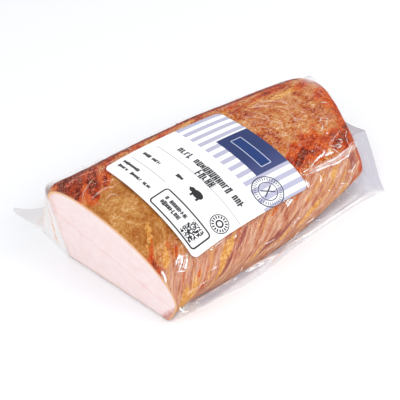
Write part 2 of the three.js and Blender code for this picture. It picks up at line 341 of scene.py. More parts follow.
class Maths:
    # a value in a node tree; + - * and the named steps add Math nodes
    def __init__(self, socket):
        self.socket, self.tree = socket, socket.id_data

    def step(self, operation, *others):
        inputs = dict(enumerate((self,) + others))
        return Maths(addNode(self.tree, "Math", inputs, operation=operation).outputs[0])

    __add__ = partialmethod(step, "ADD")
    __sub__ = partialmethod(step, "SUBTRACT")
    __mul__ = partialmethod(step, "MULTIPLY")
    __abs__ = partialmethod(step, "ABSOLUTE")
    atLeast = partialmethod(step, "MAXIMUM")
    atMost = partialmethod(step, "MINIMUM")

    def ramp(self, start, end):
        # 0 at start, 1 at end, smooth between
        inputs = {"Value": self, "From Min": min(start, end), "From Max": max(start, end)}
        inputs.update({"To Min": float(start > end), "To Max": float(start < end)})
        node = addNode(self.tree, "MapRange", inputs, interpolation_type="SMOOTHSTEP")
        return Maths(node.outputs["Result"])


def attributes(tree, names):
    # the mesh's named numbers as values
    nodes = {name: addNode(tree, "Attribute", attribute_name=name) for name in names.split()}
    return {name: Maths(node.outputs["Fac"]) for name, node in nodes.items()}


def noise(vector, scale, detail=3.0, rough=0.55, stretch=(1, 1, 1), shift=(0, 0, 0), distortion=0.0):
    # Noise texture on stretched, then shifted coordinates; scale is in waves per unit of them
    tree = vector.id_data
    mapping = addNode(tree, "Mapping", {"Scale": stretch, "Location": shift, "Vector": vector})
    inputs = {"Scale": scale, "Detail": detail, "Roughness": rough, "Distortion": distortion}
    node = addNode(tree, "TexNoise", {**inputs, "Vector": mapping.outputs["Vector"]})
    return Maths(node.outputs["Fac"])


def linear(rgb):
    # screen colour 0-255 to light, by the sRGB curve
    c = np.asarray(rgb, dtype=float) / 255.0
    c = np.where(c <= 0.04045, c / 12.92, ((c + 0.055) / 1.055) ** 2.4)
    return (float(c[0]), float(c[1]), float(c[2]), 1.0)


def layered(colour, *layers):
    # each layer is a share, a Maths value, and the colour that it lays over the ones before it; the
    # colours are screen colours or sockets
    for share, cover in layers:
        first, second = [linear(c) if isinstance(c, tuple) else c for c in (colour, cover)]
        node = addNode(share.tree, "Mix", {"Factor": share, 6: first, 7: second}, data_type="RGBA")
        colour = node.outputs[2]
    return colour


def tones(value, colours):
    # a colour ramp through evenly spaced screen colours
    node = addNode(value.tree, "ValToRGB", {"Fac": value})
    elements = node.color_ramp.elements
    while len(elements) < len(colours):
        elements.new(0.5)
    for i, (element, colour) in enumerate(zip(elements, colours)):
        element.position = i / (len(colours) - 1)
        element.color = linear(colour)
    return node.outputs["Color"]


def bump(height, strength, distance):
    inputs = {"Strength": strength, "Distance": distance, "Height": height}
    return addNode(height.tree, "Bump", inputs).outputs["Normal"]


def mixShaders(share, first, second):
    return addNode(share.tree, "MixShader", {"Fac": share, 1: first.outputs[0], 2: second.outputs[0]})


def addSurface(tree, shader):
    addNode(tree, "OutputMaterial", {"Surface": shader.outputs[0]})


# smoked loin
loin = {
    "rim": 0.8,
    "insideFilm": 0.35,  # how far the meat lies under the film
    "foot": 0.35,  # its least height above the table
    "columns": 250,
    "underColumns": 34,
    "rows": 190,
    "domeRows": 16,
    "cutRows": 14,
    "lumps": 1.3,
    "strandGrooves": 0.8,
    "backSmoke": 1.15,
    "farSmoke": 0.75,
    # rise of the muscle strands for each millimetre along the joint
    "strandStations": [0, 30, 60, 100, 150, 221],
    "strandSlopes": [1.2, 1.1, 0.8, 0.55, 0.45, 0.4],
    # dark smoke patches: [along, place on the way round in thousandths, length along the strands,
    # width across them, amount]
    "smoke": [
        [3, 700, 14, 7, 1.1], [2.5, 643, 9, 6, 1.2], [12, 650, 12, 5, 1.2], [18, 631, 12, 4.5, 1.15],
        [16, 600, 8, 3.4, 1.1], [25, 612, 5, 3, 1], [32, 700, 24, 5, 0.9], [44, 690, 22, 4, 1],
        [71, 690, 22, 4, 1], [95, 700, 22, 4, 0.9], [125, 690, 18, 4, 0.8], [150, 668, 12, 3, 0.8],
        [21, 335, 5, 2.5, 0.7], [18, 352, 5, 2, 0.5], [1.5, 335, 3.5, 6, 1.1], [8, 372, 8, 3, 0.45],
        [15, 256, 8, 2, 0.5], [27, 240, 8, 2, 0.45], [36, 250, 8, 2, 0.45], [23, 132, 5, 1.5, 0.8],
        [154, 399, 9, 5, 0.8], [160, 465, 6, 5, 0.7], [133, 405, 7, 4, 0.9], [136, 373, 9, 3.5, 0.8],
        [144, 440, 6, 4, 0.6], [182, 429, 9, 5, 0.85], [194, 435, 9, 5, 0.8], [179, 495, 6, 5, 0.6],
        [205, 400, 12, 6, 0.9], [168, 375, 9, 2, 0.7], [190, 380, 8, 3, 0.8], [172, 450, 5, 3, 0.6],
        [213, 381, 9, 9, 0.7], [213, 461, 8, 9, 0.7], [214, 529, 8, 9, 0.7], [212, 575, 8, 7, 0.8],
        [208, 603, 9, 6, 1], [205, 640, 12, 4, 1], [177, 668, 16, 3, 1], [190, 662, 12, 3, 0.8],
        [216, 172, 8, 5, 0.8], [198, 130, 8, 3, 0.8], [97, 270, 7, 2, 0.45], [117, 262, 7, 2, 0.45],
        [64, 268, 8, 3, 0.5], [149, 632, 10, 1.4, 0.8], [197, 330, 9, 3, 0.7], [150, 420, 10, 5, 0.7],
        [170, 410, 10, 6, 0.6], [166, 450, 7, 4, 0.6], [192, 400, 9, 6, 0.6], [140, 390, 9, 4, 0.6],
        [156, 375, 9, 4, 0.6],
    ],
    # yellow fat: the same five numbers
    "fat": [
        [186, 627, 11, 2.4, 1.2], [196, 628, 6, 1.6, 0.8], [176, 627, 7, 1.8, 0.9],
        [164, 637, 10, 1.4, 0.7], [140, 643, 14, 2, 0.8], [109, 660, 16, 4.5, 1.1], [88, 672, 7, 1.8, 0.5],
        [11, 398, 7, 5.5, 0.5], [17, 425, 6, 3.5, 0.42], [12.7, 339, 4, 3.2, 1.1], [9, 323, 4, 2, 0.7],
        [46, 224, 9, 3.4, 1], [55, 251, 7, 2.4, 1], [14, 116, 9, 5, 1.1], [7.5, 138, 7, 5, 1.1],
        [30, 176, 8, 1.6, 0.7], [98, 108, 8, 2.2, 0.9], [124, 146, 16, 2.6, 1.1], [162, 259, 10, 3, 0.8],
        [175, 128, 16, 2.4, 0.9], [150, 112, 14, 1.8, 0.8], [72, 110, 9, 2.6, 0.8],
        [36, 120, 10, 2.4, 0.7],
    ],
    # mauve lean that shows on the front side
    "lean": [
        [80, 112, 8, 1.8, 1], [89, 128, 8, 2.2, 1.1], [97, 142, 8, 2, 1], [60, 230, 7, 1.6, 0.8],
        [48, 186, 9, 1.8, 0.9], [42, 156, 8, 1.8, 0.8], [68, 261, 6, 1.8, 0.8], [205, 253, 9, 7, 0.8],
        [112, 190, 9, 1.4, 0.6], [140, 200, 10, 1.4, 0.5],
    ],
    "golden": [(148, 76, 22), (168, 99, 36), (181, 118, 51), (198, 142, 77), (222, 180, 126)],
    "top": [(142, 42, 6), (172, 70, 18), (189, 100, 38), (198, 122, 58), (206, 140, 80), (228, 180, 134)],
    "side": [
        (146, 68, 48), (178, 99, 70), (196, 130, 100), (208, 154, 125), (219, 176, 149), (239, 209, 183),
    ],
    "smokeTones": [(88, 14, 3), (140, 32, 4), (180, 54, 5), (202, 80, 16), (218, 120, 52)],
    "fatTones": [(204, 130, 48), (222, 160, 74), (236, 190, 116)],
    "leanMauve": (146, 66, 66),
    "paleFibre": (247, 216, 186),
    "darkFibre": (132, 48, 28),
    "cutColour": (245, 228, 227),
    "cutVein": (238, 206, 203),
    "cutRim": (234, 186, 136),
    "cutEdgeBand": (222, 180, 168),
    "cutCorner": (186, 92, 62),
    # the faint crease over the cut face: height at the front foot's line, and rise across
    "faceCrease": [12.0, 0.182],
}


def strandAcross(along, arc):
    # constant along each strand: the distance round the joint less the strand's rise so far, which is
    # the running sum of its slope
    line = np.linspace(0, 240, 481)
    slopes = np.interp(line, loin["strandStations"], loin["strandSlopes"])
    rise = join([[0], np.cumsum(slopes[:-1] * np.diff(line))])
    return arc - np.interp(along, line, rise)


def patchField(along, around, across, patches):
    # the sum of bells, long along the strands and narrow across them, each round its own place
    total = np.zeros(along.shape)
    for at, place, length, width, amount in patches:
        row = np.argmin(np.abs(along[:, 0] - at))
        column = np.argmin(np.abs(around[0] - place / 1000))
        total += amount * bell(along, at, length) * bell(across, across[row, column], width)
    return np.clip(total, 0, 1.2)


def loinMaterial():
    material, tree = newMaterial("smoked_loin_skin")
    coords = addNode(tree, "TexCoord").outputs["Object"]
    at = attributes(tree, "cut rimDistance smoke fat lean side golden strandAlong strandAcross")
    strandVector = addNode(tree, "CombineXYZ", {0: at["strandAlong"], 1: at["strandAcross"]}).outputs[0]

    def strandNoise(length, width, shift, rough=0.6):
        # noise drawn out along the strands: length and width in millimetres
        return noise(strandVector, 1.0, 4, rough, (1 / length, 1 / width, 1), (shift, 0, shift), 0.25)

    def blend(*parts):
        # noises made crisper about their middle by a spread each, and added up by their shares
        steps = [value.ramp(0.5 - spread, 0.5 + spread) * share for value, spread, share in parts]
        return sum(steps[1:], steps[0])

    # top: tan with crisp mottling, golden and even near the label
    mottle = noise(coords, 150, 5, 0.62, distortion=0.5)
    fine = noise(coords, 560, 4, 0.65, distortion=0.3)
    patchy = noise(coords, 64, 5, 0.62, distortion=0.6)
    top = tones(blend((patchy, 0.09, 0.36), (mottle, 0.09, 0.38), (fine, 0.1, 0.26)), loin["top"])
    golden = tones(blend((patchy, 0.14, 0.4), (fine, 0.14, 0.35), (mottle, 0.16, 0.25)), loin["golden"])
    # front side: strands of salmon, tan and mauve that run up and away from the cut face
    strands = strandNoise(18, 3.2, 0)
    fibres = strandNoise(7, 1.1, 17, 0.65)
    weave = blend((strands, 0.14, 0.38), (fibres, 0.16, 0.34), (mottle, 0.13, 0.16), (fine, 0.16, 0.12))
    side = layered(
        tones(weave, loin["side"]),
        (strandNoise(26, 5.5, 40).ramp(0.54, 0.61) * 0.52, tones(fibres.ramp(0.34, 0.66), loin["fatTones"])),
        (strandNoise(16, 3.0, 90).ramp(0.59, 0.65) * 0.35, loin["leanMauve"]),
    )
    # lean, fat and smoke, each with a ragged edge from the noises
    ragged = (fine - 0.5) * 1.1 + (mottle - 0.5) * 1.5
    raggedStrands = (strands - 0.5) * 1.3 + (fibres - 0.5) * 1.5
    lean = (at["lean"] + raggedStrands).ramp(0.42, 0.62) * at["lean"].ramp(0.05, 0.35) * 0.85
    fat = (at["fat"] + ragged * 0.6 + raggedStrands * 0.5).ramp(0.4, 0.62) * at["fat"].ramp(0.05, 0.35) * 0.88
    tone = blend((mottle, 0.12, 0.45), (fine, 0.14, 0.35), (fibres, 0.14, 0.2)) + 0.05
    tone = tone - at["smoke"].ramp(0.85, 1.15) * 0.4
    smoked = (at["smoke"].atMost(0.74) + ragged + raggedStrands * 0.5).ramp(0.38, 0.5)
    smoked = smoked * at["smoke"].ramp(0.04, 0.3)
    # single pale and dark fibres, thin lines where a drawn-out noise passes its middle, and pale flecks
    lively = (at["golden"] * -0.75 + 1.0) * (smoked * -0.6 + 1.0) * (at["side"] * -0.5 + 1.0)
    pale = abs(strandNoise(11, 2.6, 120) - 0.5).ramp(0.022, 0.004) * lively
    flecks = fine.ramp(0.57, 0.63) * lively * (at["side"] * -1.0 + 1.0)
    dark = abs(strandNoise(14, 3.4, 160) - 0.5).ramp(0.018, 0.003) * lively
    skin = layered(
        top,
        (at["golden"], golden),
        (at["side"], side),
        (lean, loin["leanMauve"]),
        (fat, tones(fine.ramp(0.34, 0.66), loin["fatTones"])),
        (smoked * 0.95, tones(tone, loin["smokeTones"])),
        (pale * 0.45, loin["paleFibre"]),
        (flecks * 0.3, loin["paleFibre"]),
        (dark * 0.38, loin["darkFibre"]),
    )
    # cut face: pale pink with faint veins, one faint crease, and a thin tan rim
    meat = noise(coords, 130, 4, 0.55)
    vein = abs(noise(coords, 34, 3, 0.5, distortion=0.6) - 0.5).ramp(0.035, 0.0)
    place = addNode(tree, "SeparateXYZ", {0: coords})
    across = Maths(place.outputs["Y"]) * 1000.0 + float(packMiddle[1])
    up = Maths(place.outputs["Z"]) * 1000.0
    creaseFoot, creaseRise = loin["faceCrease"]
    crease = abs(up - across * creaseRise - creaseFoot + (patchy - 0.5) * 6.0)
    cutFace = layered(
        loin["cutColour"],
        (meat.ramp(0.35, 0.7) * 0.3 + vein * 0.2 + crease.ramp(1.1, 0.2) * 0.5, loin["cutVein"]),
        ((across + (mottle - 0.5) * 14.0).ramp(97, 108) * 0.55, loin["cutEdgeBand"]),
        ((across + up + (mottle - 0.5) * 16.0).ramp(9, 3) * 0.7, loin["cutCorner"]),
        ((at["rimDistance"] + (fine - 0.5) * 1.2).ramp(1.2, 0.3) * 0.85, loin["cutRim"]),
    )
    height = mottle * 0.4 + fine * 0.35 + (strands * 0.5 + fibres * 0.6) * at["side"]
    inputs = {
        "Base Color": layered(skin, (at["cut"], cutFace)),
        "Roughness": 0.45,
        "Specular IOR Level": 0.05,
        "Subsurface Weight": 0.06,
        "Subsurface Radius": (0.004, 0.002, 0.0015),
        "Normal": bump(height, 0.6, 0.0014),
    }
    addSurface(tree, addNode(tree, "BsdfPrincipled", inputs))
    return material


def buildLoin():
    # the skin, lowered by lumps and strand grooves under the film, the flat underside and the cut face
    along, around, a, t, skin, normals = skinGrid(loin, loinForm)
    across = strandAcross(a, arcAlongRows(skin))
    side = ramp(t, 0.335, 0.295)
    lumps = layeredNoise(skin, 24, 3, 4) * loin["lumps"]
    strandPoints = np.stack([a, across, np.zeros_like(a)], -1)
    grooves = layeredNoise(strandPoints, (30, 4.2, 1), 11, 3) * loin["strandGrooves"] * (0.35 + 0.65 * side)
    fade = ramp(a, 0, 4) * ramp(t, 0, 0.05) * ramp(t, 1, 0.95)
    skin = skin - normals * (loin["insideFilm"] + (lumps + grooves) * fade)[..., None]
    skin[..., 2] = np.maximum(skin[..., 2], loin["foot"])
    skin[0, :, 0] = skin[0, :, 0].mean()
    keep = np.linspace(0.04, 1, loin["cutRows"] + 1)[:-1] ** 0.6
    keep = join([keep, [0.985, 0.995]])[:, None, None]
    middle, rings = closedRings(skin, loin["underColumns"], keep)
    points, faces = ringBody(rings)
    cutRows = len(keep)
    distance = np.linalg.norm(rings[cutRows] - middle, axis=-1)[None, :] * (1 - keep[:, :, 0])
    wholeAcross = strandAcross(along[:, None], arcAlongRows(rings[cutRows:]))
    backRim = ramp(t, 0.672, 0.70) * ramp(a, 2, 6) * loin["backSmoke"]
    farRim = ramp(a, 212, 217) * ramp(t, 0.10, 0.14) * loin["farSmoke"]
    smoke = np.maximum(patchField(a, t, across, loin["smoke"]), np.maximum(backRim, farRim))
    # for each field its values on the skin, on the underside and on the cut face
    fields = {
        "cut": (ramp(a, 0.9, 0.3), 0.0, 1.0),
        "smoke": (smoke, 0.15, 0.0),
        "fat": (patchField(a, t, across, loin["fat"]), 0.2, 0.0),
        "lean": (patchField(a, t, across, loin["lean"]), 0.1, 0.0),
        "side": (side + ramp(t, 0.84, 0.9), 1.0, 0.0),
        "golden": (ramp(a, 60, 30) * ramp(t, 0.315, 0.40) * ramp(t, 0.605, 0.55), 0.0, 0.0),
    }
    for key, (field, under, cut) in fields.items():
        fields[key] = wholeField(field, loin["underColumns"], cutRows, under, cut, under)
    fields["rimDistance"] = join([distance.ravel(), np.zeros(wholeAcross.size), [40, 0]])
    fields["strandAlong"] = join([rings[..., 0].ravel(), [0.0, endReach]])
    fields["strandAcross"] = join([np.zeros(distance.size), wholeAcross.ravel(), [0.0, 0.0]])
    piece = meshPiece("smoked_loin", points, faces, loinMaterial(), None, fields)
    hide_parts("sealed_bag")


buildLoin()

# clear film
film = {
    "rim": 1.6,
    "columns": 320,
    "underColumns": 8,
    "rows": 270,
    "domeRows": 14,
    "faceRings": [0.1, 0.4, 0.7, 0.9],
    "crinkles": 0.4,
    "foot": 0.15,  # least height of the film above the table
    "tint": (254, 253, 253),
    "milk": (250, 247, 246),
    "greyMilkAndShade": (199, 198, 208),
    "foldTint": (238, 202, 180),
    # white: the colour of the painted highlights on the film's folds
    "white": (255, 255, 255),
    "foldHaze": 0.4,
    "mostHaze": 0.95,
    "gloss": [0.009, 0.03, 0.3],  # seen straight on, added at a glance, added on the white folds with their painted highlights
    "roughness": 0.08,
    "tuft": [211, 0.64, 4, 0.018, 3.4],  # along, place on the way round, size both ways, height
    # folds and painted gleams: half width, whiteness (a painted highlight, partly whitened film), then
    # places (along, on the way round in thousandths); first the folds of the top, then the fin along the
    # front shoulder, then the white gleams, which are painted highlights
    "folds": [
        [0.9, 0, 157, 621, 168.4, 620, 173.7, 611, 176.7, 598, 177.4, 582, 182.1, 567],
        [0.6, 0, 173.7, 620, 177.4, 610, 177.4, 593], [0.6, 0, 170.4, 601, 172, 587, 173.4, 572],
        [0.7, 0, 151, 607, 153.7, 597, 154.7, 579, 152.3, 561, 152.7, 551],
        [0.5, 0, 148, 596, 148.3, 583, 151.3, 572, 151, 554], [0.6, 0, 140, 586, 144, 573, 145.7, 561],
        [0.5, 0, 140, 603, 145, 599, 146.7, 589], [0.5, 0, 138, 548, 142.6, 539, 144.3, 524, 144, 516],
        [0.6, 0.1, 162.4, 522, 163.4, 513, 165.4, 497], [0.5, 0, 141.3, 488, 146.3, 491, 150.3, 491],
        [0.5, 0, 193.1, 608, 197.8, 602, 204.8, 592],
        [0.7, 0, 186.4, 527, 190.8, 513, 195.8, 502, 203.5, 503], [0.7, 0.2, 179.1, 559, 182.7, 548],
        [0.5, 0, 207.1, 603, 208.5, 587], [1.8, 0, 154.7, 620, 161.4, 613, 168, 605],
        [0.7, 0, 155, 701, 165, 696, 177.4, 696, 183.1, 672], [0.6, 0, 140.6, 660, 154, 666, 164, 658],
        [0.5, 0.1, 13, 673, 16.7, 665, 21, 658, 26.7, 652, 30, 641],
        [0.6, 0, 5, 665, 10.3, 666, 14.3, 658], [0.6, 0, 3.3, 602, 8.3, 616, 14.7, 622, 20.7, 628],
        [0.5, 0.1, 19.7, 601, 26.7, 588], [1.1, 0, 6.3, 578, 14, 576, 19.7, 572, 24.7, 564],
        [0.8, 0, 12, 547, 17.7, 549, 19.7, 532], [0.5, 0, 5, 558, 7.7, 552],
        [0.8, 0, 34, 651, 40.4, 650, 46.4, 645], [0.6, 0, 53.8, 647, 62.8, 641, 71.5, 641],
        [0.8, 0.8, 128.3, 330, 133, 319, 142.6, 313, 158, 307, 182.1, 297, 198.8, 297, 218, 303],
        [0.7, 0.45, 129.3, 333, 134.6, 334, 140.6, 339, 151, 357, 158, 367],
        [0.7, 0.6, 137.3, 327, 149, 325, 161.4, 324, 187.8, 327, 203.5, 332, 214.8, 348],
        [0.6, 0.4, 211.8, 419, 206.5, 393, 205.5, 358, 206.1, 340],
        [0.6, 0.2, 205.1, 433, 196.4, 421, 189.1, 409],
        [0.9, 1, 144.6, 347, 152.3, 358, 160, 368], [0.8, 1, 156.3, 355, 168.4, 378],
        [1, 1, 161, 352, 169, 355, 177.1, 352], [0.8, 1, 172.4, 377, 173.4, 357],
        [0.7, 1, 129.6, 303, 128.3, 285, 127.6, 263], [0.4, 1, 129.9, 293, 129.3, 267],
        [0.8, 0.6, 143, 298, 141.3, 272, 138, 259], [0.5, 0.9, 193.4, 170, 187.1, 156],
        [0.7, 1, 111.6, 265, 106.9, 257, 104.2, 249], [0.5, 0.8, 109.6, 273, 104.6, 265],
        [0.5, 0.9, 118.9, 111, 123.3, 110, 128.6, 109], [0.7, 1, 13.3, 298, 16.3, 307, 20, 317],
        [0.7, 1, 12.7, 277, 16.7, 290, 20.3, 304], [0.9, 1, 16.3, 267, 19.3, 280, 22.7, 294],
        [0.5, 1, 14.7, 308, 20, 307, 24.7, 300], [0.5, 0.8, 11, 279, 14.7, 267, 17.7, 263],
        [1, 1, 3.3, 314, 2.6, 295, 1, 269], [0.4, 0.9, 42.7, 277, 46.7, 277, 50.8, 277],
        [0.8, 0.9, 38.4, 273, 40.4, 274], [0.7, 0.7, 58.4, 264, 60.4, 267],
        [0.7, 1, 50.8, 59, 51.8, 73, 54.1, 71], [1.3, 1, 60, 78, 67.8, 59, 77.8, 44, 86.2, 25, 97, 18],
        [0.7, 0.9, 2, 150, 3, 116, 7.3, 78, 13, 50], [0.6, 0.7, 11.7, 125, 8, 112, 4, 90, 3, 50],
        [0.5, 0.1, 1.2, 865, 1.5, 910, 1.9, 985], [0.5, 0.3, 4.5, 860, 5.5, 910, 6, 980],
    ],
    # chance folds with painted glints, on the front, over the back and on the far top: how many, and
    # where from and to
    "chanceFolds": [[30, 4, 205, 40, 250], [34, 4, 205, 700, 960], [28, 142, 205, 360, 580]],
    "seed": 4,
}


def filmMaterial(name, baseHaze, relief, ragged):
    # clear film: see-through, milky where its haze and its folds say, and glossy. Its milkiness is
    # haze + 0.4 on a fold + baseHaze, more on white folds, and at most 0.95. The white on a fold is a
    # painted highlight, partly whitened film
    material, tree = newMaterial(name)
    coords = addNode(tree, "TexCoord").outputs["Object"]
    at = attributes(tree, "haze cool foldSide foldWidth foldTone")
    edge = noise(coords, 420, 3, 0.6)
    fold = (at["foldWidth"] - abs(at["foldSide"]) + (edge - 0.5) * ragged).ramp(-0.1, 0.25)
    fold = fold * at["foldWidth"].ramp(-0.2, 0.1)
    # white: each fold's whiteness, a painted highlight on the film, partly whitened crease
    white = fold * at["foldTone"]
    most = film["mostHaze"]
    share = (at["haze"] + fold * film["foldHaze"] + baseHaze).atLeast(white * most).atMost(most)
    folded = (fold, film["foldTint"]), (white.ramp(0.1, 0.5), film["white"])
    milk = layered(film["milk"], (at["cool"], film["greyMilkAndShade"]), *folded)
    clear = addNode(tree, "BsdfTransparent", {"Color": linear(film["tint"])})
    body = mixShaders(share, clear, addNode(tree, "BsdfDiffuse", {"Color": milk}))
    small = noise(coords, 240, 3, 0.5, distortion=0.5)
    wrinkles = abs(noise(coords, 70, 3, 0.55, (0.8, 1.1, 1.0), distortion=1.2) - 0.5)
    normal = bump(small * 0.3 - wrinkles * 2.0 + fold * 1.2, relief, 0.0011)
    inputs = {"Color": (1, 1, 1, 1), "Roughness": film["roughness"], "Normal": normal}
    # after Schlick's formula, the same from both sides of the thin film: 0.009 + 0.03 (1 - cosine)^5,
    # and more on the white folds, which carry painted highlights
    straight, glance, onWhite = film["gloss"]
    weight = addNode(tree, "LayerWeight", {"Blend": 0.5, "Normal": normal})
    mirror = Maths(weight.outputs["Facing"]).step("POWER", 5.0) * glance + white * onWhite + straight
    addSurface(tree, mixShaders(mirror, body, addNode(tree, "BsdfGlossy", inputs)))
    return material


def foldFields(first, second, folds):
    # for each vertex, from the nearest fold's line through its points: the distance with a sign for
    # the side, the half width there (least at both ends, below 0 away from the line), and the tone
    nearest = np.full(first.shape, 9.0)
    side, width, tone = nearest.copy(), np.full(first.shape, -1.0), np.zeros(first.shape)
    for halfWidth, foldTone, points in folds:
        steps = np.diff(points, axis=0)
        lengths = np.linalg.norm(steps, axis=1)
        ends = join([[0], np.cumsum(lengths)]) / lengths.sum()
        for k, (step, length) in enumerate(zip(steps, lengths)):
            du, dv = first - points[k, 0], second - points[k, 1]
            share = np.clip((du * step[0] + dv * step[1]) / length**2, 0, 1)
            offsetU, offsetV = du - share * step[0], dv - share * step[1]
            distance = np.hypot(offsetU, offsetV)
            run = ends[k] + share * (ends[k + 1] - ends[k])
            here = halfWidth * (1 - (2 * run - 1) ** 4) * (0.75 + 0.25 * np.sin(run * 23 + points[0, 0]))
            closer = distance < nearest
            nearest = np.where(closer, distance, nearest)
            side = np.where(closer, np.copysign(distance, step[0] * dv - step[1] * du), side)
            width = np.where(closer, here, width)
            tone = np.where(closer, foldTone, tone)
    away = ramp(nearest, 1.6, 2.6)
    return {"foldSide": side, "foldWidth": width * (1 - away) - away, "foldTone": tone}


def chanceFolds():
    # short bent folds at random places, each with a chance whiteness that paints a small glint on the film
    draw = np.random.default_rng(film["seed"])
    rows = []
    for count, near, far, low, high in film["chanceFolds"]:
        for _ in range(count):
            start = np.array([draw.uniform(near, far), draw.uniform(low, high)])
            step = np.array([draw.uniform(1, 6), draw.uniform(-20, 20)])
            bend = np.array([draw.uniform(-2, 2), draw.uniform(-10, 10)])
            points = join([start, start + step, start + 2 * step + bend])
            # the second number is the whiteness: a painted glint, partly whitened crease
            rows.append([draw.uniform(0.3, 0.7), draw.uniform(0, 0.9), *points])
    return rows


def buildWrap():
    # the film that hugs the joint: the wrapped joint's own cross-sections, which run down to the
    # table, with folds, a tuft and small crinkles raised along the normal; the crinkles are winding
    # lines where layered noise passes its middle
    along, around, a, t, skin, normals = skinGrid(film, wrapForm)
    arc = arcAlongRows(skin)
    arc = arc - arc[:, [int(wrapForm["places"][2] * film["columns"])]]
    folds = []
    for halfWidth, tone, *numbers in film["folds"] + chanceFolds():
        places = np.array(numbers, float).reshape(-1, 2)
        row = np.interp(places[:, 0], along, np.arange(len(along))).round().astype(int)
        places[:, 1] = [np.interp(place / 1000, around, arc[k]) for k, place in zip(row, places[:, 1])]
        folds.append([halfWidth, tone, places])
    fields = foldFields(a, arc, folds)
    tuftAlong, tuftAround, tuftLength, tuftWidth, tuftHeight = film["tuft"]
    tufted = bell(a, tuftAlong, tuftLength) * bell(t, tuftAround, tuftWidth)
    onLabel = ramp(a, 22, 28) * ramp(a, 140, 134) * ramp(t, 0.25, 0.30) * ramp(t, 0.70, 0.66)
    crinkle = bell(layeredNoise(skin, (30, 16, 16), 5, 2), 0.5, 0.05) * film["crinkles"] * (1 - onLabel)
    raised = bell(fields["foldSide"], 0, 0.9) * np.clip(fields["foldWidth"], 0, 1)
    lift = (crinkle + raised) * ramp(a, 0, 3) * ramp(t, 0.02, 0.08) + tufted * tuftHeight
    skin = skin + normals * lift[..., None]
    skin[..., 2] = np.maximum(skin[..., 2], film["foot"])
    keep = np.array(film["faceRings"])[:, None, None]
    points, faces = ringBody(closedRings(skin, film["underColumns"], keep)[1])
    tent = ramp(t, 0.80, 0.86) * ramp(a, 24, 8)
    onFin = ramp(a, 132, 150) * ramp(a, endReach, endReach - 6)
    betweenFin = ramp(t, 0.302, 0.312) * ramp(t, 0.335, 0.325) * onFin
    lowFront = ramp(t, 0.10, 0.03) * ramp(a, 80, 150) * ramp(a, endReach, 200)
    lowFront = np.maximum(lowFront, ramp(t, 0.13, 0.05) * ramp(a, 18, 6) * ramp(a, 0.2, 1.5) * 0.6)
    fields["haze"] = betweenFin * 0.3 + tufted * 0.9 + tent * 0.85 + lowFront * 0.55
    fields["cool"] = tent * 0.1 + tufted * 0.7
    onFace = {"foldSide": 9.0, "foldWidth": -1.0}
    for key, field in fields.items():
        face = onFace.get(key, 0.0)
        fields[key] = wholeField(field, film["underColumns"], len(keep), field[:, -1:], face, 0.0)
    material = filmMaterial("clear_film", 0.0, 0.6, 1.3)
    meshPiece("film_wrap", points, faces, material, None, fields).visible_shadow = False


buildWrap()

# flat edges of the pouch
pouch = {
    # x, y, height of the edge, height where it leaves the joint
    "outline": [
        [-1.8, 20, 0, 0.2], [-1.8, -0.5, 0, 0.2], [12.6, -5, 0, 0.2], [38.7, -8, 0, 0.2],
        [57.6, -11.5, 0, 0.2], [81, -11.5, 0, 0.2], [112.5, -9.5, 0, 0.2], [162, -9.5, 0, 0.2],
        [185.4, -11, 0, 0.3], [202.4, -14.2, 0, 2], [205.5, -7, 4.5, 9], [216, 9.5, 17.5, 22],
        [224.9, 22.6, 25, 28], [231, 40, 19.5, 23], [240, 68, 15, 18], [243, 100, 7, 10], [242, 127, 0, 2],
        [226, 123, 0.5, 0.6], [190, 119, 4, 4], [140, 120, 6, 6], [80, 122, 6, 6], [40, 127, 5, 5],
        [24, 141, 2, 3], [14.8, 149.6, 0.5, 2], [9.3, 158.8, 0, 1], [6, 154, 0, 0.5], [6.2, 131, 0, 0.2],
        [5.3, 108.5, 0, 0.2], [-1.8, 90, 0, 0.2],
    ],
    "sharpCorners": [1, 9, 12, 16, 24, 28],
    "steps": 24,  # between two points of the outline
    "columns": 56,
    "thickness": 0.35,
    "ripple": 0.5,
    "sealWidth": 5.0,
    "reach": {"near": 8, "front": 8, "back": 90, "far": 18, "lift": 0.8},
    # folds: half width, whiteness (the white is a painted highlight on the fold), then places (x, y)
    "folds": [
        # the first two folds: the white line along the front foot, a painted highlight on the film's fold
        [1.3, 1, 192, -8.4, 180, -7.6, 165.1, -7.1, 147.8, -6.7, 137.6, -6.6, 127.4, -6.6, 117.7, -5.9,
         111.1, -5.3, 102.1, -5.2],
        [1.5, 1, 96.2, -6.7, 88.6, -4.7, 77.6, -2.9, 66.7, -2.9],
        [0.5, 0, 109.3, -3.8, 98.8, -6.3, 89.2, -8.4, 82.3, -10.1],
        [0.6, 0.3, 60, -2.4, 52, -2, 40, -1.2, 28, -0.4, 17, 0.6],
        [0.9, 0.8, 12.7, 8, 12.2, 4.5, 11.9, 0.8],
        [0.8, 0.3, 27.3, 145.4, 22.7, 141.6, 16.3, 135.6, 6.7, 131.9],
        [0.4, 0, 6.7, 131.9, 12, 129.6, 16.3, 126, 19, 123.1], [0.5, 0.3, 16.2, 130.2, 21.3, 124.9],
    ],
    "foldHeight": 0.6,
}


def outlineCurve():
    # cubic curve through the outline's rows, straight between sharp corners
    rows = np.array(pouch["outline"], dtype=float)
    sharp = np.isin(np.arange(len(rows)), pouch["sharpCorners"])
    after = np.roll(rows, -1, 0)
    slope = 0.5 * (after - np.roll(rows, 1, 0))
    slope[sharp] = 0
    straight = (sharp & np.roll(sharp, -1))[:, None, None]
    t = (np.arange(pouch["steps"]) / pouch["steps"])[None, :, None]
    ends = [each[:, None] for each in (rows, after, slope, np.roll(slope, -1, 0))]
    line = ends[0] * (1 - t) + ends[1] * t
    return np.where(straight, line, cubic(t, *ends)).reshape(-1, 4)


def holdNear(value, low, high):
    # the value held in a range, with a little of what lies past it kept
    inside = np.clip(value, low, high)
    return inside + (value - inside) * 0.06


